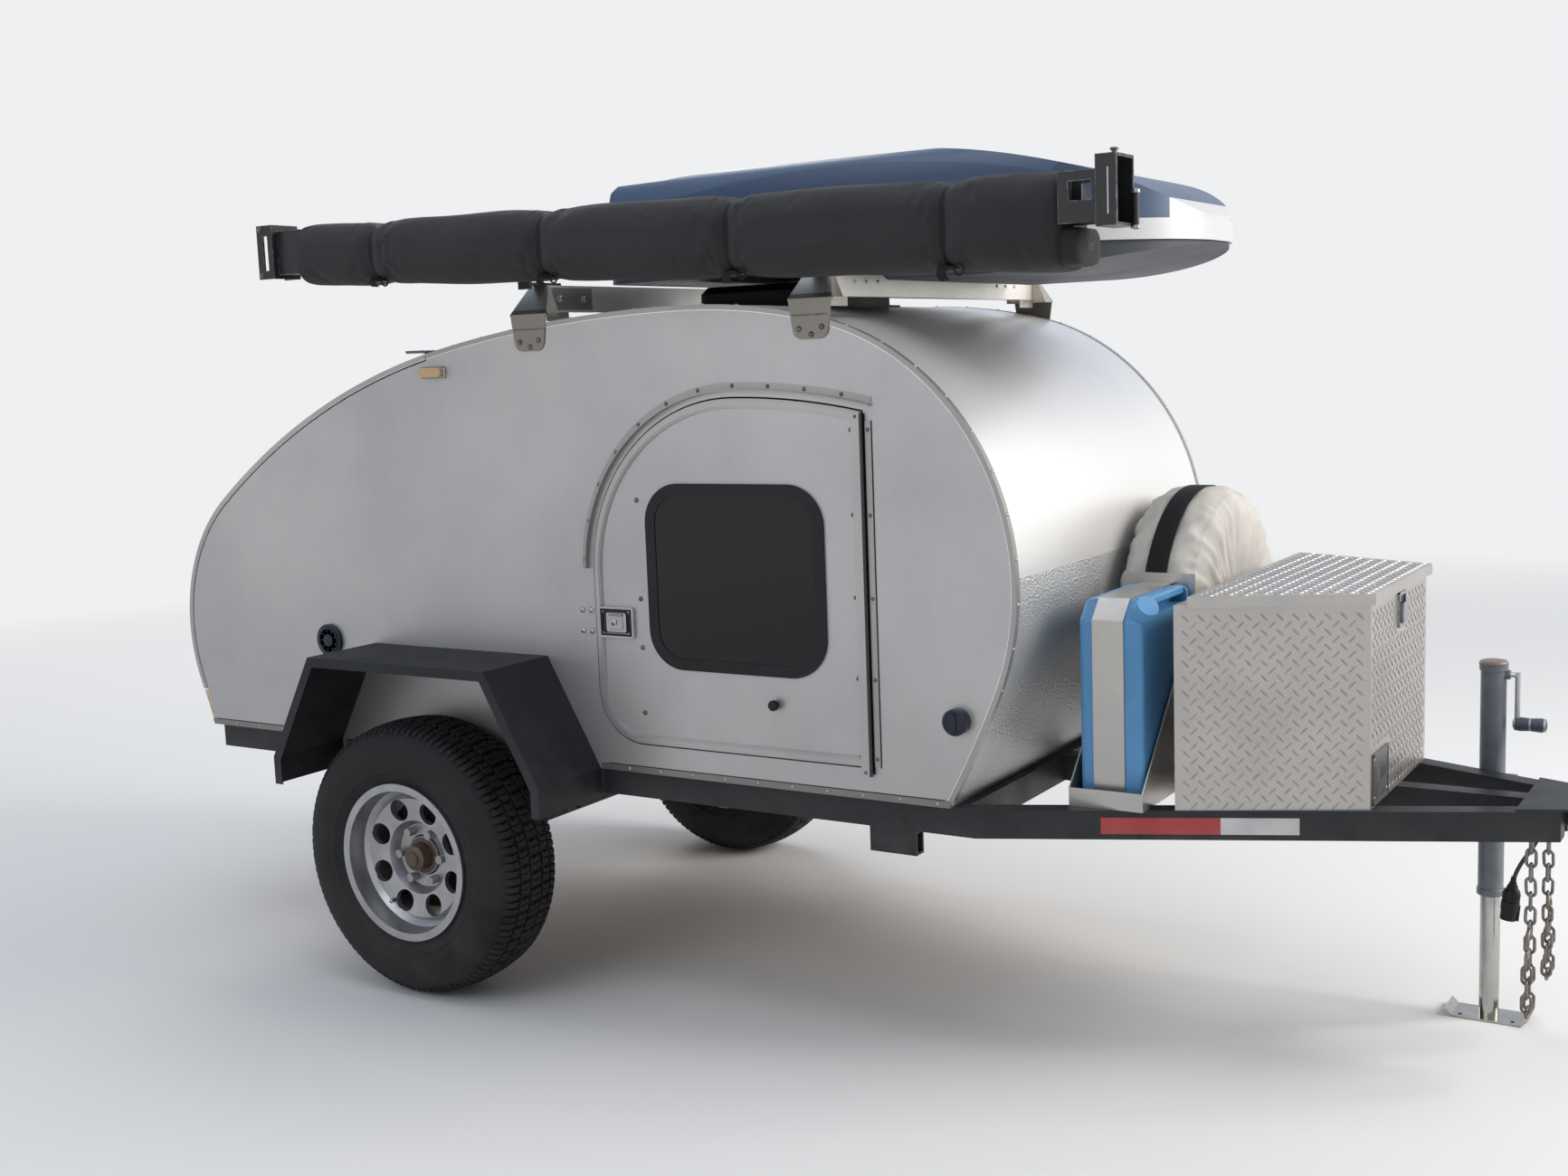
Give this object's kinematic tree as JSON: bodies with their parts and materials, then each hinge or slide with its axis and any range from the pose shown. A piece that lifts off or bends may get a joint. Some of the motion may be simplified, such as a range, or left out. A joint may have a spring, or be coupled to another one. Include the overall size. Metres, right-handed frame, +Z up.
{
  "type": "teardrop trailer",
  "caption": "Small teardrop camping trailer with side doors, rear galley hatch, tongue box, spare wheel, roof cargo box and packed side awning.",
  "frame": {"origin": "on the ground, on the centreline, at half of the overall length", "axes": "+X forward to the coupler, +Y to the left side, +Z up"},
  "size_m": [3.9841, 1.714, 2.1012],
  "materials": {
    "wall_skin": "satin",
    "door_skin": "satin",
    "roof_skin": "satin",
    "guard_sheet": "embossed",
    "edge_moulding": "satin",
    "door_moulding": "satin",
    "frame_black": "semi-gloss",
    "fender_black": "satin",
    "tyre_rubber": "matte",
    "rim_alloy": "machined",
    "hub_steel": "matte",
    "window_black": "satin",
    "window_tint": "gloss",
    "latch_chrome": "polished",
    "plywood": "varnished",
    "mattress_cloth": "matte",
    "tread_plate": "diamond embossed",
    "plain_aluminium": "brushed",
    "rack_steel": "brushed",
    "can_blue": "satin",
    "cover_cloth": "matte",
    "cargo_gloss": "gloss",
    "cargo_dark": "matte",
    "vent_plastic": "satin",
    "awning_cloth": "matte",
    "awning_steel": "satin",
    "amber_lens": "gloss",
    "red_lens": "gloss",
    "cap_plastic": "gloss",
    "jack_zinc": "zinc plated",
    "chain_zinc": "zinc plated",
    "cable_rubber": "matte",
    "plug_plastic": "matte"
  },
  "bodies": {
    "trailer": {"side_wall_right": "wall_skin", "side_wall_left": "wall_skin", "roof_shell": "roof_skin", "front_guard": "guard_sheet", "roof_trim": "edge_moulding", "bottom_trim": "edge_moulding", "drip_caps": "edge_moulding", "door_hinges": "edge_moulding", "side_rails": "frame_black", "cross_members": "frame_black", "drawbar": "frame_black", "axle": "frame_black", "leaf_springs": "frame_black", "coupler": "frame_black", "fenders": "fender_black", "box_latch": "latch_chrome", "bulkhead": "plywood", "galley": "plywood", "floor": "plywood", "mattress": "mattress_cloth", "tongue_box": "tread_plate", "can_holder": "plain_aluminium", "roof_crossbars": "plain_aluminium", "rack_feet": "rack_steel", "water_can": "can_blue", "spare_cover": "cover_cloth", "cargo_box_base": "cargo_dark", "roof_vent": "vent_plastic", "awning_bag": "awning_cloth", "awning_frame": "awning_steel", "marker_lamps": "amber_lens", "tail_lamps": "red_lens", "wall_caps": "cap_plastic", "jack_tube": "jack_zinc", "jack_crank": "jack_zinc", "safety_chains": "chain_zinc", "plug_cable": "cable_rubber", "cable_plug": "plug_plastic"},
    "door_right": {"door_panel_right": "door_skin", "door_trim_right": "door_moulding", "window_frame_right": "window_black", "window_glass_right": "window_tint", "door_latch_right": "latch_chrome"},
    "door_left": {"door_panel_left": "door_skin", "door_trim_left": "door_moulding", "window_frame_left": "window_black", "window_glass_left": "window_tint", "door_latch_left": "latch_chrome"},
    "hatch": {"hatch_shell": "roof_skin", "hatch_trim": "edge_moulding"},
    "box_lid": {"tongue_box_lid": "tread_plate"},
    "cargo_lid": {"cargo_box_lid": "cargo_gloss"},
    "wheel_right": {"tyre_right": "tyre_rubber", "rim_right": "rim_alloy", "hub_right": "hub_steel"},
    "wheel_left": {"tyre_left": "tyre_rubber", "rim_left": "rim_alloy", "hub_left": "hub_steel"},
    "jack_foot": {"jack_leg": "jack_zinc"}
  },
  "joints": [
    {"name": "wheel_right_spin", "type": "hinge", "parent": "trailer", "child": "wheel_right", "pos_m": [-0.95, -0.735, 0.36], "axis": [0, 1, 0], "continuous": true},
    {"name": "wheel_left_spin", "type": "hinge", "parent": "trailer", "child": "wheel_left", "pos_m": [-0.95, 0.735, 0.36], "axis": [0, 1, 0], "continuous": true},
    {"name": "door_right_swing", "type": "hinge", "parent": "trailer", "child": "door_right", "pos_m": [0.32, -0.6185, 1.08], "axis": [0, 0, 1], "range_deg": [0, 110]},
    {"name": "door_left_swing", "type": "hinge", "parent": "trailer", "child": "door_left", "pos_m": [0.32, 0.6185, 1.08], "axis": [0, 0, -1], "range_deg": [0, 110]},
    {"name": "hatch_lift", "type": "hinge", "parent": "trailer", "child": "hatch", "pos_m": [-0.98005, 0, 1.66241], "axis": [0, 1, 0], "range_deg": [0, 80]},
    {"name": "box_lid_lift", "type": "hinge", "parent": "trailer", "child": "box_lid", "pos_m": [0.992, 0, 1.061], "axis": [0, -1, 0], "range_deg": [0, 90]},
    {"name": "cargo_lid_lift", "type": "hinge", "parent": "trailer", "child": "cargo_lid", "pos_m": [0.1, 0.4125, 1.8425], "axis": [-1, 0, 0], "range_deg": [0, 50]},
    {"name": "jack_slide", "type": "slide", "parent": "trailer", "child": "jack_foot", "axis": [0, 0, 1], "range_m": [0, 0.25]}
  ]
}
